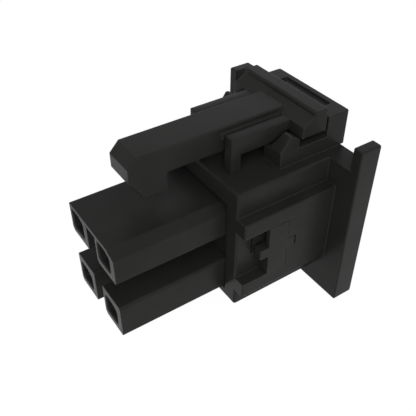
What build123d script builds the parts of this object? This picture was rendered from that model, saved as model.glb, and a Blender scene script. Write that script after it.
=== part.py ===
"""Four-way, two-row plug for crimped wire contacts, in millimetres.

X runs across the two contact columns, the contacts mate towards -Y, the wires leave
towards +Y and Z is up. The origin is the centre of the silo grid on the front
shoulder of the body, which is the plane that stops against the mating half.
"""
import os

from build123d import *

# Silo grid
COLUMN_PITCH = 6.0
ROW_PITCH = 7.5

# Silos: the square tubes that shroud the contacts
SILO_WIDTH = 4.0
UPPER_SILO_HEIGHT = 3.7
LOWER_SILO_HEIGHT = 4.2
SILO_REACH = 12.9
SILO_EDGE = 0.12
KEY_WIDTH = 1.4
KEY_HEIGHT = 0.62
LOWER_KEY_ROUND = 0.35
FOOT_KEY = 0.36
WEB_THICKNESS = 0.42

# Contact bores, which open a little to the left of each silo's middle
BORE_WIDTH = 2.6
BORE_HEIGHT = 2.45
BORE_SHIFT = 0.25
UPPER_BORE_RISE = 0.08
LOWER_BORE_DROP = 0.1
BORE_KEY_WIDTH = 0.9
BORE_KEY_HEIGHT = 0.4
BORE_CORNER = 0.35
LEAD_IN = 0.12

# Body block with the recess that the silos stand in
BODY_WIDTH = 14.2
BODY_TOP = 8.6
BODY_BOTTOM = -7.15
BODY_LENGTH = 12.0
BODY_EDGE = 0.3
RECESS_DEPTH = 0.8
RECESS_EDGE = 0.2
RECESS_SIDE_GAP = 0.15
RECESS_TOP_GAP = 0.66

# Wire cavities behind the bores
CAVITY_WIDTH = 4.4
CAVITY_HEIGHT = 4.8
CAVITY_FRONT = 2.6
CAVITY_TAPER = 0.8
CAVITY_LEAD = 0.3
THROAT_MARGIN = 0.1

# Side plates and the pocket for each contact retainer
PLATE_THICKNESS = 1.4
PLATE_CENTRE = 0.5
PLATE_HEIGHT = 10.3
PLATE_EDGE = 0.15
POCKET_HEIGHT = 6.6
POCKET_LENGTH = 5.92
TONGUE_LENGTH = 1.15
TONGUE_HEIGHT = 1.36
WINDOW_FRONT = 1.95
WINDOW_SILL = 0.6
WINDOW_HEADROOM = 0.35

# Contact retainers
RETAINER_CLEARANCE = 0.04
PANEL_FRONT = 3.26
TOOTH_FRONT = 2.16
TOOTH_HEIGHT = 1.3
TOOTH_THICKNESS = 1.05
TOOTH_EDGE = 0.1
TONGUE_END_GAP = 0.18
RELIEF_DEPTH = 0.85
RELIEF_LENGTH = 1.6
RELIEF_MARGIN = 0.4
BAR_FRONT = 4.2
BAR_LENGTH = 1.0
BAR_HEIGHT = 1.0
BAR_EDGE = 0.3
BAR_REACH = 0.5
BAR_CLEARANCE = 0.08
BAR_ROOT = 0.4
LEAF_GAP = 0.2
LEAF_THICKNESS = 0.8

# Rear flange
FLANGE_WIDTH = 22.5
FLANGE_THICKNESS = 2.7
FLANGE_BOTTOM = -9.88
FLANGE_CORNER = 0.25
FLANGE_EDGE = 0.15
EAR_HEIGHT = 2.84
EAR_WIDTH = 1.17

# Guard frame and rails round the thumb pad, with heights above the body top
GUARD_WIDTH = 11.6
GUARD_HEIGHT = 4.08
GUARD_OVERHANG = 0.6
GUARD_WALL = 0.75
GUARD_CORNER = 0.3
GUARD_EDGE = 0.12
POST_WIDTH = 2.2
POST_LENGTH = 2.9
SHELF_DROP = 0.3
SHELF_THICKNESS = 0.8
RAIL_WIDTH = 2.8
RAIL_HEIGHT = 1.7
RAIL_NOSE_HEIGHT = 1.83
RAMP_LENGTH = 1.16
RAMP_ARM_GAP = 0.15
HUMP_HEIGHT = 3.43
HUMP_CREST = 0.3
HUMP_WIDTH = 1.15
HUMP_EDGE = 0.25
HUMP_FALL = 0.9
HUMP_REAR_HEIGHT = 2.85
HUMP_PAD_GAP = 0.2

# Latch lever, with heights above the body top
BEAM_WIDTH = 3.96
BEAM_TOP = 4.63
BEAM_BOTTOM = 1.75
BEAM_EDGE = 0.18
BEAM_RISE_RUN = 2.19
NOSE_FRONT = -9.03
NOSE_SLOPE_LENGTH = 1.08
NOSE_TOP = 3.49
NOSE_BOTTOM = 1.91
HOOK_TIP_FRONT = -7.51
HOOK_CATCH = -4.75
HOOK_BOTTOM = -0.49
LEDGE_WIDTH = 0.28
LEDGE_TOP = 4.0
LEDGE_THICKNESS = 0.7
PAD_WIDTH = 11.9
PAD_LENGTH = 3.16
PAD_GUARD_GAP = 0.45
PAD_BOTTOM = 2.75
PAD_EDGE = 0.12
RIDGE_LENGTH = 1.68
RIDGE_FOOT = 4.87
RIDGE_TOP = 5.4
RIDGE_FRONT_ROUND = 0.3
RIDGE_REAR_ROUND = 0.15

# Spring arms, from the body top back to the thumb pad
ARM_INNER_GAP = 0.3
ARM_WIDTH = 1.27
ARM_FRONT = 1.46
ARM_POST_LENGTH = 1.22
ARM_TOP = 4.12
ARM_UNDERSIDE = 2.02
ARM_TAPER_LENGTH = 3.59
ARM_TIP_UNDERSIDE = 2.97
ARM_EDGE = 0.12

BODY_HALF = BODY_WIDTH / 2
PLATE_OUTER = BODY_HALF + PLATE_THICKNESS
FLANGE_REAR = BODY_LENGTH + FLANGE_THICKNESS
GUARD_HALF = GUARD_WIDTH / 2
GUARD_REAR = FLANGE_REAR + GUARD_OVERHANG
POST_FRONT = GUARD_REAR - POST_LENGTH
PAD_REAR = POST_FRONT - PAD_GUARD_GAP
PAD_FRONT = PAD_REAR - PAD_LENGTH
RIDGE_FRONT = PAD_REAR - RIDGE_LENGTH
BEAM_HALF = BEAM_WIDTH / 2
ARM_INNER = BEAM_HALF + LEDGE_WIDTH + ARM_INNER_GAP
ARM_OUTER = ARM_INNER + ARM_WIDTH
COLUMNS = (-COLUMN_PITCH / 2, COLUMN_PITCH / 2)
SIDES = (-1, 1)
FUZZ = 0.001


def span(left, right, low, high):
    """Rectangle given by its edges."""
    return Pos((left + right) / 2, (low + high) / 2) * Rectangle(right - left, high - low)


def along_y(outline, front, rear):
    """Solid with an outline drawn in X and Z, from the front plane to the rear plane."""
    return extrude(Plane.XZ.offset(-rear) * outline, amount=rear - front, dir=(0, -1, 0))


def along_x(outline, left, right):
    """Solid with an outline drawn in Y and Z, from the left plane to the right plane."""
    return extrude(Plane.YZ.offset(left) * outline, amount=right - left, dir=(1, 0, 0))


def edges_at(solid, axis, place):
    """Edges that lie in the plane at one place along an axis."""
    return solid.edges().filter_by_position(axis, place - FUZZ, place + FUZZ)


def rounded_corner(outline, corner, radius):
    """Outline with the corner nearest to a point rounded."""
    x, y = corner
    nearest = min(outline.vertices(), key=lambda vertex: abs(vertex.X - x) + abs(vertex.Y - y))
    return fillet(nearest, radius)


def silo_outline(upper, height):
    """Silo section: the top right corner is slanted in the upper row and round in the lower one."""
    x = SILO_WIDTH / 2
    z = height / 2
    key = [(x - KEY_WIDTH, z), (x, z - KEY_HEIGHT)] if upper else [(x, z)]
    outline = Polygon((-x, z), *key, (x, -z), (-x + FOOT_KEY, -z), (-x, -z + FOOT_KEY), align=None)
    if upper:
        return fillet(outline.vertices(), SILO_EDGE)
    others = [corner for corner in outline.vertices() if corner.X < x - FUZZ or corner.Y < 0]
    return rounded_corner(fillet(others, SILO_EDGE), (x, z), LOWER_KEY_ROUND)


def bore_outline():
    """Section of a contact bore: round-cornered, and slanted at the top right as its silo is."""
    x = BORE_WIDTH / 2
    z = BORE_HEIGHT / 2
    outline = Polygon(
        (-x, z),
        (x - BORE_KEY_WIDTH, z),
        (x, z - BORE_KEY_HEIGHT),
        (x, -z),
        (-x, -z),
        align=None,
    )
    return fillet(outline.vertices(), BORE_CORNER)


def row(upper):
    """Height of a row's centre, of its silos and of its bores."""
    if upper:
        z = ROW_PITCH / 2
        return z, UPPER_SILO_HEIGHT, z + UPPER_BORE_RISE
    z = -ROW_PITCH / 2
    return z, LOWER_SILO_HEIGHT, z - LOWER_BORE_DROP


def silo(x, upper):
    z, height, _ = row(upper)
    return along_y(Pos(x, z) * silo_outline(upper, height), -SILO_REACH, RECESS_DEPTH)


def contact_passage(x, upper):
    """Room for one contact: lead-in, narrow front bore, tapered throat and wide wire cavity."""
    z, _, bore_z = row(upper)
    bore_place = Pos(x - BORE_SHIFT, bore_z)
    bore = bore_place * bore_outline()
    passage = along_y(bore, -SILO_REACH, CAVITY_FRONT + FUZZ)
    passage += loft(
        [
            Plane.XZ.offset(SILO_REACH) * offset(bore, LEAD_IN),
            Plane.XZ.offset(SILO_REACH - LEAD_IN) * bore,
        ]
    )
    wide = Pos(x, z) * Rectangle(CAVITY_WIDTH, CAVITY_HEIGHT)
    throat = bore_place * Rectangle(BORE_WIDTH + 2 * THROAT_MARGIN, BORE_HEIGHT + 2 * THROAT_MARGIN)
    wide_front = CAVITY_FRONT + CAVITY_TAPER
    passage += loft([Plane.XZ.offset(-CAVITY_FRONT) * throat, Plane.XZ.offset(-wide_front) * wide])
    passage += along_y(wide, wide_front, FLANGE_REAR)
    entry = Pos(x, z) * Rectangle(CAVITY_WIDTH + 2 * CAVITY_LEAD, CAVITY_HEIGHT + 2 * CAVITY_LEAD)
    return passage + loft(
        [
            Plane.XZ.offset(-FLANGE_REAR + CAVITY_LEAD) * wide,
            Plane.XZ.offset(-FLANGE_REAR) * entry,
        ]
    )


def silo_block():
    """All four silos, the upper pair joined by the web that carries their flat top."""
    block = Part()
    for x in COLUMNS:
        for upper in (True, False):
            block += silo(x, upper)
    top = ROW_PITCH / 2 + UPPER_SILO_HEIGHT / 2
    web = span(COLUMNS[0], COLUMNS[1], top - WEB_THICKNESS, top)
    return block + along_y(web, -SILO_REACH, RECESS_DEPTH)


def body_block():
    """Body with rounded edges and the shallow recess round the silo roots."""
    block = along_y(span(-BODY_HALF, BODY_HALF, BODY_BOTTOM, BODY_TOP), 0, BODY_LENGTH)
    block = fillet(block.edges().filter_by(Axis.Y) + edges_at(block, Axis.Y, 0), BODY_EDGE)
    side = COLUMN_PITCH / 2 + SILO_WIDTH / 2 + RECESS_SIDE_GAP
    low = -ROW_PITCH / 2 - LOWER_SILO_HEIGHT / 2 - RECESS_SIDE_GAP
    high = ROW_PITCH / 2 + UPPER_SILO_HEIGHT / 2 + RECESS_TOP_GAP
    block -= along_y(span(-side, side, low, high), 0, RECESS_DEPTH)
    rim = [edge for edge in edges_at(block, Axis.Y, 0) if abs(edge.center().X) < side + FUZZ]
    return fillet([edge for edge in rim if low - FUZZ < edge.center().Z < high + FUZZ], RECESS_EDGE)


def side_plate(side):
    """Thick side plate with the open-fronted pocket that holds a retainer."""
    low = PLATE_CENTRE - PLATE_HEIGHT / 2
    high = PLATE_CENTRE + PLATE_HEIGHT / 2
    plate = along_x(span(0, BODY_LENGTH, low, high), BODY_HALF - BODY_EDGE, PLATE_OUTER)
    outer = edges_at(plate, Axis.X, PLATE_OUTER)
    plate = fillet([edge for edge in outer if edge.center().Y < BODY_LENGTH - FUZZ], PLATE_EDGE)
    pocket = span(0, POCKET_LENGTH, PLATE_CENTRE - POCKET_HEIGHT / 2, PLATE_CENTRE + POCKET_HEIGHT / 2)
    tongue = span(
        POCKET_LENGTH,
        POCKET_LENGTH + TONGUE_LENGTH,
        PLATE_CENTRE - TONGUE_HEIGHT / 2,
        PLATE_CENTRE + TONGUE_HEIGHT / 2,
    )
    plate -= along_x(pocket + tongue, BODY_HALF - BODY_EDGE, PLATE_OUTER)
    return plate if side > 0 else mirror(plate, Plane.YZ)


def bar_span(way):
    """Low and high edge of a retainer's lock bar, in the upper row for way 1 and the lower for -1."""
    near = ROW_PITCH / 2 - CAVITY_HEIGHT / 2 + BAR_EDGE
    return sorted((way * near, way * (near + BAR_HEIGHT)))


def windows(side):
    """Openings in one body side through which a retainer's bars reach the wire cavities."""
    inner = COLUMN_PITCH / 2 + CAVITY_WIDTH / 2
    rear = BAR_FRONT + BAR_LENGTH + BAR_CLEARANCE
    high = bar_span(1)[1]
    upper = span(WINDOW_FRONT, rear, PLATE_CENTRE - WINDOW_SILL, high + WINDOW_HEADROOM)
    low, high = bar_span(-1)
    lower = span(BAR_FRONT - BAR_CLEARANCE, rear, low - BAR_CLEARANCE, high + BAR_CLEARANCE)
    cut = along_x(upper, inner, BODY_HALF) + along_x(lower, inner, BODY_HALF)
    return cut if side > 0 else mirror(cut, Plane.YZ)


def flange():
    """Rear flange, cut down between two narrow ears at its top."""
    x = FLANGE_WIDTH / 2
    notch = x - EAR_WIDTH
    top = BODY_TOP + EAR_HEIGHT
    outline = Polygon(
        (-x, FLANGE_BOTTOM),
        (x, FLANGE_BOTTOM),
        (x, top),
        (notch, top),
        (notch, BODY_TOP),
        (-notch, BODY_TOP),
        (-notch, top),
        (-x, top),
        align=None,
    )
    outer = [corner for corner in outline.vertices() if abs(corner.X) > x - FUZZ]
    plate = along_y(fillet(outer, FLANGE_CORNER), BODY_LENGTH, FLANGE_REAR)
    rims = edges_at(plate, Axis.Y, BODY_LENGTH) + edges_at(plate, Axis.Y, FLANGE_REAR)
    return fillet([edge for edge in rims if abs(edge.center().X) > x - FLANGE_CORNER], FLANGE_EDGE)


def rail():
    """Right-hand rail: low base under the spring arm, and a ramped hump in front of the thumb pad."""
    rear = PAD_FRONT - HUMP_PAD_GAP
    crest_rear = rear - HUMP_FALL
    crest_front = crest_rear - HUMP_CREST
    front = crest_front - RAMP_LENGTH
    base = along_x(span(front, POST_FRONT, 0, RAIL_HEIGHT), GUARD_HALF - RAIL_WIDTH, GUARD_HALF)
    ramp = Polygon(
        (front, 0),
        (front, RAIL_NOSE_HEIGHT),
        (crest_front, HUMP_HEIGHT),
        (crest_rear, HUMP_HEIGHT),
        (rear, HUMP_REAR_HEIGHT),
        (rear, 0),
        align=None,
    )
    plan = Polygon(
        (ARM_OUTER + RAMP_ARM_GAP, front),
        (GUARD_HALF, front),
        (GUARD_HALF, rear),
        (GUARD_HALF - HUMP_WIDTH, rear),
        (GUARD_HALF - HUMP_WIDTH, crest_front),
        align=None,
    )
    hump = along_x(ramp, ARM_OUTER, GUARD_HALF)
    outer = edges_at(hump, Axis.X, GUARD_HALF)
    hump = fillet([edge for edge in outer if edge.center().Z > RAIL_NOSE_HEIGHT], HUMP_EDGE)
    return base + (hump & extrude(plan, amount=HUMP_HEIGHT, dir=(0, 0, 1)))


def guard():
    """Frame behind and beside the thumb pad: rails, posts, rear wall and the shelf between the posts."""
    post = span(GUARD_HALF - POST_WIDTH, GUARD_HALF, POST_FRONT, GUARD_REAR)
    wall = span(-GUARD_HALF, GUARD_HALF, GUARD_REAR - GUARD_WALL, GUARD_REAR)
    plan = post + mirror(post, Plane.YZ) + wall
    rear = [corner for corner in plan.vertices() if corner.Y > GUARD_REAR - FUZZ]
    frame = extrude(fillet(rear, GUARD_CORNER), amount=GUARD_HEIGHT, dir=(0, 0, 1))
    frame = fillet(edges_at(frame, Axis.Z, GUARD_HEIGHT), GUARD_EDGE)
    shelf_top = GUARD_HEIGHT - SHELF_DROP
    shelf = span(POST_FRONT, GUARD_REAR - GUARD_WALL / 2, shelf_top - SHELF_THICKNESS, shelf_top)
    inner = GUARD_HALF - POST_WIDTH / 2
    half = rail()
    return frame + along_x(shelf, -inner, inner) + half + mirror(half, Plane.YZ)


def housing():
    shell = body_block() + flange() + Pos(0, 0, BODY_TOP) * guard()
    for side in SIDES:
        shell += side_plate(side)
    shell += silo_block()
    for side in SIDES:
        shell -= windows(side)
    for x in COLUMNS:
        for upper in (True, False):
            shell -= contact_passage(x, upper)
    return shell


def retainer(side):
    """Slide-in plate with a pull tooth, a locating tongue, two lock bars and a leaf that fills the window."""
    gap = RETAINER_CLEARANCE
    inner = BODY_HALF + gap
    low = PLATE_CENTRE - POCKET_HEIGHT / 2 + gap
    high = PLATE_CENTRE + POCKET_HEIGHT / 2 - gap
    panel_rear = POCKET_LENGTH - gap
    tooth_low = PLATE_CENTRE - TOOTH_HEIGHT / 2
    tooth_high = PLATE_CENTRE + TOOTH_HEIGHT / 2
    plate = along_x(span(PANEL_FRONT, panel_rear, low, high), inner, PLATE_OUTER)
    relief = span(PANEL_FRONT, PANEL_FRONT + RELIEF_LENGTH, tooth_high, high - RELIEF_MARGIN)
    plate -= along_x(relief, inner, BODY_HALF + RELIEF_DEPTH)
    tooth = span(TOOTH_FRONT, PANEL_FRONT, tooth_low, tooth_high)
    tooth = along_x(tooth, PLATE_OUTER - TOOTH_THICKNESS, PLATE_OUTER)
    plate += fillet(edges_at(tooth, Axis.Y, TOOTH_FRONT), TOOTH_EDGE)
    tongue = span(
        panel_rear,
        POCKET_LENGTH + TONGUE_LENGTH - TONGUE_END_GAP,
        PLATE_CENTRE - TONGUE_HEIGHT / 2 + gap,
        PLATE_CENTRE + TONGUE_HEIGHT / 2 - gap,
    )
    plate += along_x(tongue, inner, PLATE_OUTER)
    leaf = span(
        WINDOW_FRONT + LEAF_GAP,
        BAR_FRONT + BAR_LENGTH,
        PLATE_CENTRE - WINDOW_SILL + BAR_CLEARANCE,
        bar_span(1)[1] + WINDOW_HEADROOM - BAR_CLEARANCE,
    )
    plate += along_x(leaf, BODY_HALF - LEAF_THICKNESS, inner)
    bar_tip = COLUMN_PITCH / 2 + CAVITY_WIDTH / 2 - BAR_REACH
    for way in SIDES:
        bar = span(BAR_FRONT, BAR_FRONT + BAR_LENGTH, *bar_span(way))
        plate += along_x(bar, bar_tip, PLATE_OUTER - BAR_ROOT)
    return plate if side > 0 else mirror(plate, Plane.YZ)


def latch_lever():
    """Rocking lever: hooked beam in front, thumb pad with a ridge behind."""
    beam = Polygon(
        (NOSE_FRONT, NOSE_BOTTOM),
        (NOSE_FRONT, NOSE_TOP),
        (NOSE_FRONT + NOSE_SLOPE_LENGTH, BEAM_TOP),
        (RIDGE_FRONT, BEAM_TOP),
        (RIDGE_FRONT, PAD_BOTTOM),
        (PAD_FRONT, PAD_BOTTOM),
        (PAD_FRONT - BEAM_RISE_RUN, BEAM_BOTTOM),
        (HOOK_CATCH, BEAM_BOTTOM),
        (HOOK_CATCH, HOOK_BOTTOM),
        (HOOK_TIP_FRONT, HOOK_BOTTOM),
        align=None,
    )
    pad = Polygon(
        (PAD_FRONT, PAD_BOTTOM),
        (PAD_FRONT, ARM_TOP),
        (RIDGE_FRONT, RIDGE_FOOT),
        (RIDGE_FRONT, RIDGE_TOP),
        (PAD_REAR, RIDGE_TOP),
        (PAD_REAR, PAD_BOTTOM),
        align=None,
    )
    pad = rounded_corner(pad, (RIDGE_FRONT, RIDGE_TOP), RIDGE_FRONT_ROUND)
    pad = rounded_corner(pad, (PAD_REAR, RIDGE_TOP), RIDGE_REAR_ROUND)
    pad = along_x(pad, -PAD_WIDTH / 2, PAD_WIDTH / 2)
    pad = fillet(edges_at(pad, Axis.X, -PAD_WIDTH / 2) + edges_at(pad, Axis.X, PAD_WIDTH / 2), PAD_EDGE)
    lever = along_x(beam, -BEAM_HALF, BEAM_HALF)
    sides = edges_at(lever, Axis.X, -BEAM_HALF) + edges_at(lever, Axis.X, BEAM_HALF)
    lever = fillet([edge for edge in sides if edge.center().Y < PAD_FRONT], BEAM_EDGE)
    ledge = span(ARM_FRONT, PAD_FRONT, LEDGE_TOP - LEDGE_THICKNESS, LEDGE_TOP)
    return lever + pad + along_x(ledge, -BEAM_HALF - LEDGE_WIDTH, BEAM_HALF + LEDGE_WIDTH)


def spring_arm(side):
    """Leaf that springs the lever: upright foot on the body, then a run that thins towards the pad."""
    post_rear = ARM_FRONT + ARM_POST_LENGTH
    taper_start = PAD_FRONT - ARM_TAPER_LENGTH
    with BuildSketch() as outline:
        with BuildLine():
            Polyline(
                (PAD_FRONT, ARM_TIP_UNDERSIDE),
                (PAD_FRONT, ARM_TOP),
                (ARM_FRONT, ARM_TOP),
                (ARM_FRONT, 0),
                (post_rear, 0),
                (post_rear, ARM_UNDERSIDE),
                (taper_start, ARM_UNDERSIDE),
            )
            TangentArc((taper_start, ARM_UNDERSIDE), (PAD_FRONT, ARM_TIP_UNDERSIDE), tangent=(1, 0))
        make_face()
    arm = along_x(outline.sketch, ARM_INNER, ARM_OUTER)
    sides = edges_at(arm, Axis.X, ARM_INNER) + edges_at(arm, Axis.X, ARM_OUTER)
    free = [edge for edge in sides if edge.center().Z > FUZZ and edge.center().Y < PAD_FRONT - FUZZ]
    arm = fillet(free, ARM_EDGE)
    return arm if side > 0 else mirror(arm, Plane.YZ)


def main():
    os.makedirs("parts", exist_ok=True)
    pieces = {
        "housing": housing(),
        "latch_lever": Pos(0, 0, BODY_TOP) * latch_lever(),
        "spring_arm_left": Pos(0, 0, BODY_TOP) * spring_arm(-1),
        "spring_arm_right": Pos(0, 0, BODY_TOP) * spring_arm(1),
        "retainer_left": retainer(-1),
        "retainer_right": retainer(1),
    }
    for name, piece in pieces.items():
        export_step(piece, os.path.join("parts", name + ".step"))


main()
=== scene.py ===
# %% [markdown]
# A plug with a rocking latch, dressed for its portrait.
# The imported model brings the housing, the latch lever and the two contact retainers at their true size.
# This notebook adds the camera, the light and the moulded plastic, and models the two spring arms again
# as leaves of their own, which on the plug bend when the thumb pad is pressed.

# %% Load the frame
import math

import bmesh
import bpy
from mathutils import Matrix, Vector


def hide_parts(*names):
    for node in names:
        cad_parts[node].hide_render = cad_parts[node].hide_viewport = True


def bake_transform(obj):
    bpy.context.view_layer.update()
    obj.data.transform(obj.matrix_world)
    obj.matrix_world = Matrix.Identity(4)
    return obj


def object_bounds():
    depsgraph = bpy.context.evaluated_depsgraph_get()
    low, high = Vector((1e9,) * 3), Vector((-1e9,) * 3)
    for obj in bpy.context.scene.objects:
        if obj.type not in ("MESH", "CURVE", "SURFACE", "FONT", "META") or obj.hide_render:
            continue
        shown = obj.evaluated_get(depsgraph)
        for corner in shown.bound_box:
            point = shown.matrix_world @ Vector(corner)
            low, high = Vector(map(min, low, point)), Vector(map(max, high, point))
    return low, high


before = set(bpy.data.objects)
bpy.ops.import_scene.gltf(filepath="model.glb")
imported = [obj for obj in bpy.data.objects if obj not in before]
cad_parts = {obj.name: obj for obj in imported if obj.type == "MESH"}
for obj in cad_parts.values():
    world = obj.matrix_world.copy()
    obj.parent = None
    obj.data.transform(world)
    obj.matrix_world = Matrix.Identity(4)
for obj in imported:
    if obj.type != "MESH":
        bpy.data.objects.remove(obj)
cad_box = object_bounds()
print("nodes:", sorted(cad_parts))
print("CAD box in mm:", [[round(c * 1000, 2) for c in corner] for corner in cad_box])

# %% [markdown]
# Millimetres suit a plug, and Blender works in metres.
# One small helper turns a millimetre triple into a vector, so each size below reads like a drawing.

# %% Millimetres
MM = 0.001


def mm(x, y, z):
    """Point given in millimetres."""
    return Vector((x, y, z)) * MM


print("one column pitch:", mm(6, 0, 0))

# %% [markdown]
# The camera stands where the photographer stood: in front of the plug, to its right and above it.
# Its place and lens come from lining up the edges of the plug with the picture, so the perspective
# matches too. It could be aimed with a Track To constraint, but an azimuth and an elevation say the same
# in two numbers and leave nothing to evaluate.

# %% Camera
AZIMUTH, ELEVATION = 56.22, 39.66
camera_data = bpy.data.cameras.new("portrait_camera")
camera_data.sensor_width = 36
camera_data.lens = 51.3
camera_data.clip_start = 1 * MM
camera_data.clip_end = 10
camera = bpy.data.objects.new("portrait_camera", camera_data)
bpy.context.scene.collection.objects.link(camera)
camera.location = mm(42.89, -27.49, 44.52)
camera.rotation_euler = (math.radians(90 - ELEVATION), 0, math.radians(AZIMUTH))
bpy.context.scene.camera = camera
print("camera at", [round(c, 4) for c in camera.location])

# %% [markdown]
# The backdrop is a white sweep with nothing on it. Rays that come straight from the camera, or by way of
# a reflection or through glass, see pure white, while the light that the world sends out stays moderate.
# The Light Path node tells these rays apart, so the black plastic isn't washed out by its own
# background.

# %% White surround
SKY_LIGHT, SKY_SEEN = 0.30, 1.0
scene = bpy.context.scene
scene.view_settings.view_transform = "Standard"
world = bpy.data.worlds.new("white_surround")
scene.world = world
world.use_nodes = True
nodes, links = world.node_tree.nodes, world.node_tree.links
nodes.clear()
sky_glow = nodes.new("ShaderNodeBackground")
sky_glow.inputs["Color"].default_value = (1, 1, 1, 1)
sky_glow.inputs["Strength"].default_value = SKY_LIGHT
sky_seen = nodes.new("ShaderNodeBackground")
sky_seen.inputs["Color"].default_value = (1, 1, 1, 1)
sky_seen.inputs["Strength"].default_value = SKY_SEEN


def straight_or_mirrored(nodes, links):
    """Value that is 1 for camera, glossy and transmission rays, and 0 for all others."""
    ray_kind = nodes.new("ShaderNodeLightPath")
    first = nodes.new("ShaderNodeMath")
    first.operation = "MAXIMUM"
    both = nodes.new("ShaderNodeMath")
    both.operation = "MAXIMUM"
    links.new(ray_kind.outputs["Is Camera Ray"], first.inputs[0])
    links.new(ray_kind.outputs["Is Glossy Ray"], first.inputs[1])
    links.new(first.outputs["Value"], both.inputs[0])
    links.new(ray_kind.outputs["Is Transmission Ray"], both.inputs[1])
    return both.outputs["Value"]


choose = nodes.new("ShaderNodeMixShader")
world_out = nodes.new("ShaderNodeOutputWorld")
links.new(straight_or_mirrored(nodes, links), choose.inputs["Fac"])
links.new(sky_glow.outputs["Background"], choose.inputs[1])
links.new(sky_seen.outputs["Background"], choose.inputs[2])
links.new(choose.outputs["Shader"], world_out.inputs["Surface"])
print("world light:", SKY_LIGHT, "and as seen:", SKY_SEEN)

# %% [markdown]
# The floor is a pale sheet just under the lowest edge of the flange.
# Seen by the camera it glows nearly white, and a small share of plain diffuse is left in it, which keeps
# a faint soft shadow. Glossy rays see the same white, so the lower faces of the plug mirror a bright
# table, as in the picture.

# %% Floor
FLOOR_DROP = 0.02
SHEET_WHITE = 0.8
GLOW_STRENGTH, GLOW_SHARE = 1.04, 0.93
bpy.ops.object.select_all(action="DESELECT")
bpy.ops.mesh.primitive_plane_add(size=3, location=(0, 0, cad_box[0].z - FLOOR_DROP * MM))
floor = bpy.context.object
floor.name = "white_floor"
sweep_white = bpy.data.materials.new("sweep_white")
sweep_white.use_nodes = True
nodes, links = sweep_white.node_tree.nodes, sweep_white.node_tree.links
nodes.clear()
sheet = nodes.new("ShaderNodeBsdfDiffuse")
sheet.inputs["Color"].default_value = (SHEET_WHITE, SHEET_WHITE, SHEET_WHITE, 1)
glow = nodes.new("ShaderNodeEmission")
glow.inputs["Color"].default_value = (1, 1, 1, 1)
glow.inputs["Strength"].default_value = GLOW_STRENGTH
share = nodes.new("ShaderNodeMath")
share.operation = "MULTIPLY"
share.inputs[1].default_value = GLOW_SHARE
choose = nodes.new("ShaderNodeMixShader")
floor_out = nodes.new("ShaderNodeOutputMaterial")
links.new(straight_or_mirrored(nodes, links), share.inputs[0])
links.new(share.outputs["Value"], choose.inputs["Fac"])
links.new(sheet.outputs["BSDF"], choose.inputs[1])
links.new(glow.outputs["Emission"], choose.inputs[2])
links.new(choose.outputs["Shader"], floor_out.inputs["Surface"])
floor.data.materials.append(sweep_white)
print("floor at z =", round(floor.location.z, 5))

# %% [markdown]
# Black plastic shows two things: a weak mirror image of what stands round it, and a little scattered
# light. The white surround gives the mirror image. Two soft boxes add the scattered part. The stronger
# one stands close to the camera, so it reaches into every recess that the picture shows and its shadows
# hide behind the plug. The weaker one stands over the plug's right shoulder and keeps the tops a little
# brighter. A lamp would also leave a hot patch in the mirror image, so both are hidden from glossy rays.

# %% Lamps
TARGET = mm(0, 1, 2)


def soft_box(name, place, width, watts, colour):
    """Square area lamp that shines at the middle of the plug and isn't mirrored in it."""
    data = bpy.data.lights.new(name, "AREA")
    data.shape = "SQUARE"
    data.size = width
    data.energy = watts
    data.color = colour
    lamp = bpy.data.objects.new(name, data)
    scene.collection.objects.link(lamp)
    lamp.location = place
    lamp.rotation_euler = (TARGET - lamp.location).to_track_quat("-Z", "Y").to_euler()
    lamp.visible_glossy = False


soft_box("camera_soft_box", mm(195, -165, 165), width=0.20, watts=0.58, colour=(1.0, 0.99, 0.96))
soft_box("shoulder_soft_box", mm(190, 60, 260), width=0.30, watts=0.38, colour=(1.0, 1.0, 1.0))

# %% [markdown]
# The housing is black polyamide from a spark-eroded mould. Its skin has a very fine grain that scatters
# light evenly, faint cloudy patches where the melt flowed and cooled, and slightly smoother edges.
# A picture of such a texture would do as well, but noise needs no file and follows the part at any size.
# The grain and the clouds go into one node group, so both plastics share it with their own values.

# %% Moulded grain group
def group_with(name, numbers, outputs):
    """Empty node group with number inputs and named outputs."""
    group = bpy.data.node_groups.new(name, "ShaderNodeTree")
    for label, value in numbers:
        socket = group.interface.new_socket(label, in_out="INPUT", socket_type="NodeSocketFloat")
        socket.default_value = value
    for label in outputs:
        group.interface.new_socket(label, in_out="OUTPUT", socket_type="NodeSocketFloat")
    return group


moulded_grain = group_with(
    "moulded_grain",
    [("Grain Scale", 9000.0), ("Cloud Scale", 260.0)],
    ["Grain", "Clouds"],
)
nodes, links = moulded_grain.nodes, moulded_grain.links
group_in = nodes.new("NodeGroupInput")
group_out = nodes.new("NodeGroupOutput")
place = nodes.new("ShaderNodeTexCoord")
pits = nodes.new("ShaderNodeTexNoise")
pits.inputs["Detail"].default_value = 3.0
pits.inputs["Roughness"].default_value = 0.62
clouds = nodes.new("ShaderNodeTexNoise")
clouds.inputs["Detail"].default_value = 4.0
clouds.inputs["Roughness"].default_value = 0.55
clouds.inputs["Distortion"].default_value = 0.6
links.new(place.outputs["Object"], pits.inputs["Vector"])
links.new(place.outputs["Object"], clouds.inputs["Vector"])
links.new(group_in.outputs["Grain Scale"], pits.inputs["Scale"])
links.new(group_in.outputs["Cloud Scale"], clouds.inputs["Scale"])
links.new(pits.outputs["Fac"], group_out.inputs["Grain"])
links.new(clouds.outputs["Fac"], group_out.inputs["Clouds"])
print("grain group:", [s.name for s in moulded_grain.interface.items_tree])
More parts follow.
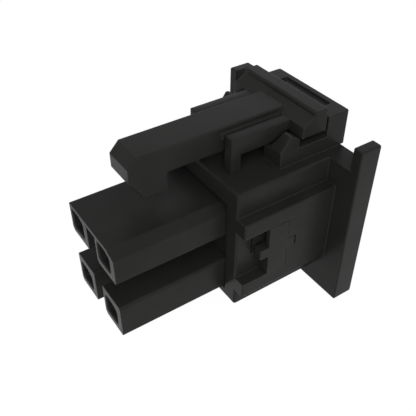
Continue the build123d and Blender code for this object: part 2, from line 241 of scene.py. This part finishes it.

# %% [markdown]
# No moulded edge is perfectly sharp. The Bevel node looks a fraction of a millimetre round each point
# and turns the normal there, so edges catch light in a thin line. The difference between that normal
# and the true one is also a mask of the edges, where handling polishes the grain away and where the
# plastics paint a line of light or shade into the base colour.
# Real fillets carry the larger radii, and this group only finishes what is too small to model.
# FULLY_TURNED is the agreement of the two normals at which the mask has reached one.

# %% Edge wear and painted light group
EDGE_RADIUS = 0.1
FULLY_TURNED = 0.85
# The Edge mask sets the lower roughness of the edges and also places the painted edge light and shade of
# the plastics.
worn_edge = group_with("worn_edge", [("Radius", EDGE_RADIUS * MM)], ["Edge"])
worn_edge.interface.new_socket("Normal", in_out="OUTPUT", socket_type="NodeSocketVector")
nodes, links = worn_edge.nodes, worn_edge.links
group_in = nodes.new("NodeGroupInput")
group_out = nodes.new("NodeGroupOutput")
rounded = nodes.new("ShaderNodeBevel")
rounded.samples = 6
true_face = nodes.new("ShaderNodeNewGeometry")
agree = nodes.new("ShaderNodeVectorMath")
agree.operation = "DOT_PRODUCT"
edge = nodes.new("ShaderNodeMapRange")
edge.inputs["From Min"].default_value = 1.0
edge.inputs["From Max"].default_value = FULLY_TURNED
links.new(group_in.outputs["Radius"], rounded.inputs["Radius"])
links.new(rounded.outputs["Normal"], agree.inputs[0])
links.new(true_face.outputs["Normal"], agree.inputs[1])
links.new(agree.outputs["Value"], edge.inputs["Value"])
links.new(edge.outputs["Result"], group_out.inputs["Edge"])
links.new(rounded.outputs["Normal"], group_out.inputs["Normal"])
print("edge group:", [s.name for s in worn_edge.interface.items_tree])

# %% [markdown]
# Both plastics are made the same way and differ in their values: the retainers come from a smoother
# mould, so they are a touch greyer and glossier than the housing.
# Colour runs between a darker and a lighter black with the clouds. The edges of the housing and the
# lever are painted a little lighter, a painted highlight for the bright surround that their edges catch.
# Those of the retainers are painted darker, a painted shade for the shadow in the fine seam round them.

# %% Black plastics
POLYAMIDE_IOR = 1.45
MATT_SPECULAR = 0.07
CLOUD_SWING = 0.05
EDGE_POLISH = 0.12
GRAIN_STRENGTH = 0.35


def moulded_plastic(name, dark, light, painted_edge_tone, rough, grain_depth):
    """Black moulded plastic with grain, clouds, polished edges and a painted edge colour of light or
    shade.
    """
    material = bpy.data.materials.new(name)
    material.use_nodes = True
    nodes, links = material.node_tree.nodes, material.node_tree.links
    plastic = nodes["Principled BSDF"]
    plastic.inputs["IOR"].default_value = POLYAMIDE_IOR
    plastic.inputs["Specular IOR Level"].default_value = MATT_SPECULAR
    grain = nodes.new("ShaderNodeGroup")
    grain.node_tree = moulded_grain
    edges = nodes.new("ShaderNodeGroup")
    edges.node_tree = worn_edge
    tone = nodes.new("ShaderNodeValToRGB")
    tone.color_ramp.elements[0].position = 0.3
    tone.color_ramp.elements[0].color = (*dark, 1)
    tone.color_ramp.elements[1].position = 0.7
    tone.color_ramp.elements[1].color = (*light, 1)
    links.new(grain.outputs["Clouds"], tone.inputs["Fac"])
    # Painted light on the edges: the edge mask mixes a lighter or darker edge colour into the base
    # colour, a painted highlight on the housing and painted shade on the retainers.
    painted_edge_mix = nodes.new("ShaderNodeMix")
    painted_edge_mix.data_type = "RGBA"
    painted_edge_mix.inputs["B"].default_value = (*painted_edge_tone, 1)
    links.new(edges.outputs["Edge"], painted_edge_mix.inputs["Factor"])
    links.new(tone.outputs["Color"], painted_edge_mix.inputs["A"])
    links.new(painted_edge_mix.outputs["Result"], plastic.inputs["Base Color"])
    sheen = nodes.new("ShaderNodeMapRange")
    sheen.inputs["To Min"].default_value = rough + CLOUD_SWING
    sheen.inputs["To Max"].default_value = rough - CLOUD_SWING
    links.new(grain.outputs["Clouds"], sheen.inputs["Value"])
    polished = nodes.new("ShaderNodeMath")
    polished.operation = "MULTIPLY_ADD"
    polished.inputs[1].default_value = -EDGE_POLISH
    links.new(edges.outputs["Edge"], polished.inputs[0])
    links.new(sheen.outputs["Result"], polished.inputs[2])
    links.new(polished.outputs["Value"], plastic.inputs["Roughness"])
    relief = nodes.new("ShaderNodeBump")
    relief.inputs["Strength"].default_value = GRAIN_STRENGTH
    relief.inputs["Distance"].default_value = grain_depth * MM
    links.new(grain.outputs["Grain"], relief.inputs["Height"])
    links.new(edges.outputs["Normal"], relief.inputs["Normal"])
    links.new(relief.outputs["Normal"], plastic.inputs["Normal"])
    return material


housing_black = moulded_plastic(
    "housing_black",
    dark=(0.0150, 0.0150, 0.0146),
    light=(0.0186, 0.0186, 0.0182),
    # Painted highlight: a lighter colour along every edge of the housing and the lever.
    painted_edge_tone=(0.045, 0.045, 0.0437),
    rough=0.32,
    grain_depth=0.02,
)
retainer_black = moulded_plastic(
    "retainer_black",
    dark=(0.0160, 0.0160, 0.0156),
    light=(0.0196, 0.0196, 0.0192),
    # Painted shade: a darker colour along every edge of the retainers, standing in for the shadow in the
    # seam round them.
    painted_edge_tone=(0.006, 0.006, 0.0058),
    rough=0.28,
    grain_depth=0.01,
)
for node, finish in {
    "housing": housing_black,
    "latch_lever": housing_black,
    "retainer_left": retainer_black,
    "retainer_right": retainer_black,
}.items():
    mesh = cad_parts[node].data
    mesh.materials.clear()
    mesh.materials.append(finish)
    print(node, "wears", finish.name)

# %% [markdown]
# Two thin leaves carry the lever. Each stands on the body top on an upright foot, runs back beside
# the beam and thins towards the thumb pad, where it bends most easily.
# The leaf is drawn from a plain bar: cuts give it stations along its length, the foot is pulled down
# from its front end, and the stations behind the foot are raised along an arc from below.
# Bar and foot start a little too long, so that their rounded ends can be cut off square later on.

# %% Right spring arm
ARM_INNER, ARM_OUTER = 2.56, 3.83
ARM_FRONT, FOOT_REAR, ARM_REAR = 1.46, 2.68, 8.79
ARM_TOP, ARM_UNDER, BODY_TOP = 12.72, 10.62, 8.6
TAPER_START, TIP_UNDER = 5.2, 11.57
ARM_MIDDLE = (ARM_INNER + ARM_OUTER) / 2
SPARE = 0.35
FIRST_CUT, CUT_STEP, CUTS = 3.1, 0.35, 16


def edit_mesh():
    """Opens edit mode with nothing selected and gives the mesh being edited."""
    bpy.ops.object.mode_set(mode="EDIT")
    bpy.ops.mesh.select_all(action="DESELECT")
    return bmesh.from_edit_mesh(bpy.context.object.data)


bpy.ops.object.select_all(action="DESELECT")
bpy.ops.mesh.primitive_cube_add(
    size=1,
    location=mm(ARM_MIDDLE, (ARM_FRONT + ARM_REAR + SPARE) / 2, (ARM_TOP + ARM_UNDER) / 2),
    scale=mm(ARM_OUTER - ARM_INNER, ARM_REAR + SPARE - ARM_FRONT, ARM_TOP - ARM_UNDER),
)
arm = bpy.context.object
arm.name = "spring_leaf_right"
bpy.ops.object.transform_apply(location=True, rotation=True, scale=True)
stations = [FOOT_REAR] + [FIRST_CUT + CUT_STEP * step for step in range(CUTS)]
edit_mesh()
for station in stations:
    bpy.ops.mesh.select_all(action="SELECT")
    bpy.ops.mesh.bisect(plane_co=mm(0, station, 0), plane_no=(0, 1, 0))
bpy.ops.object.mode_set(mode="OBJECT")
print("bar with", len(arm.data.vertices), "corners")

# %% [markdown]
# The front stretch of the underside is extruded down to the body as the foot.
# The taper follows a circle that leaves the underside level and meets the pad at the tip height.

# %% Foot and taper
TOUCH = 0.01
shape = edit_mesh()
for face in shape.faces:
    middle = face.calc_center_median() / MM
    if face.normal.z < -0.9 and middle.y < FOOT_REAR:
        face.select = True
bmesh.update_edit_mesh(arm.data)
foot_drop = mm(0, 0, BODY_TOP - SPARE - ARM_UNDER)
bpy.ops.mesh.extrude_region_move(TRANSFORM_OT_translate={"value": foot_drop})
run = ARM_REAR - TAPER_START
rise = TIP_UNDER - ARM_UNDER
radius = (run**2 + rise**2) / (2 * rise)
for station in [s for s in stations if s > TAPER_START] + [ARM_REAR + SPARE]:
    shape = edit_mesh()
    for corner in shape.verts:
        at = corner.co / MM
        corner.select = abs(at.y - station) < TOUCH and abs(at.z - ARM_UNDER) < TOUCH
    shape.select_flush_mode()
    bmesh.update_edit_mesh(arm.data)
    lift = radius - math.sqrt(radius**2 - (station - TAPER_START) ** 2)
    bpy.ops.transform.translate(value=mm(0, 0, lift))
bpy.ops.object.mode_set(mode="OBJECT")
print("arc radius", round(radius, 2), "mm")

# %% [markdown]
# A thin round on every corner keeps the leaf from looking cut out of sheet.
# The bevel is a modifier that is applied at once. Where the leaf runs into the pad and into the body
# there is no corner on the moulding, so the spare lengths are cut away there with their rounds, and the
# cut is filled. The left leaf is a mirrored copy with its own mesh. Mirroring turns a surface inside
# out, so its normals are worked out again.

# %% Rounds and mirror
ROUND = 0.12
ROUNDED_ABOVE, SMOOTH_BELOW = math.radians(40), math.radians(35)
rounds = arm.modifiers.new("rounds", "BEVEL")
rounds.width = ROUND * MM
rounds.segments = 3
rounds.limit_method = "ANGLE"
rounds.angle_limit = ROUNDED_ABOVE
rounds.use_clamp_overlap = True
bpy.ops.object.modifier_apply(modifier="rounds")
bpy.ops.object.mode_set(mode="EDIT")
for point, outward in ((mm(0, ARM_REAR, 0), (0, 1, 0)), (mm(0, 0, BODY_TOP), (0, 0, -1))):
    bpy.ops.mesh.select_all(action="SELECT")
    bpy.ops.mesh.bisect(plane_co=point, plane_no=outward, use_fill=True, clear_outer=True)
bpy.ops.object.mode_set(mode="OBJECT")
bpy.ops.object.shade_smooth_by_angle(angle=SMOOTH_BELOW)
bpy.ops.object.duplicate()
arm_left = bpy.context.object
arm_left.name = "spring_leaf_left"
bpy.ops.object.mode_set(mode="EDIT")
bpy.ops.mesh.select_all(action="SELECT")
bpy.ops.transform.resize(value=(-1, 1, 1), center_override=(0, 0, 0))
bpy.ops.mesh.normals_make_consistent(inside=False)
bpy.ops.object.mode_set(mode="OBJECT")
for leaf, node, side in ((arm, "spring_arm_right", 1), (arm_left, "spring_arm_left", -1)):
    leaf.data.materials.append(housing_black)
    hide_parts(node)
    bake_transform(leaf)
    print(leaf.name, len(leaf.data.polygons), "faces, stands for", node)
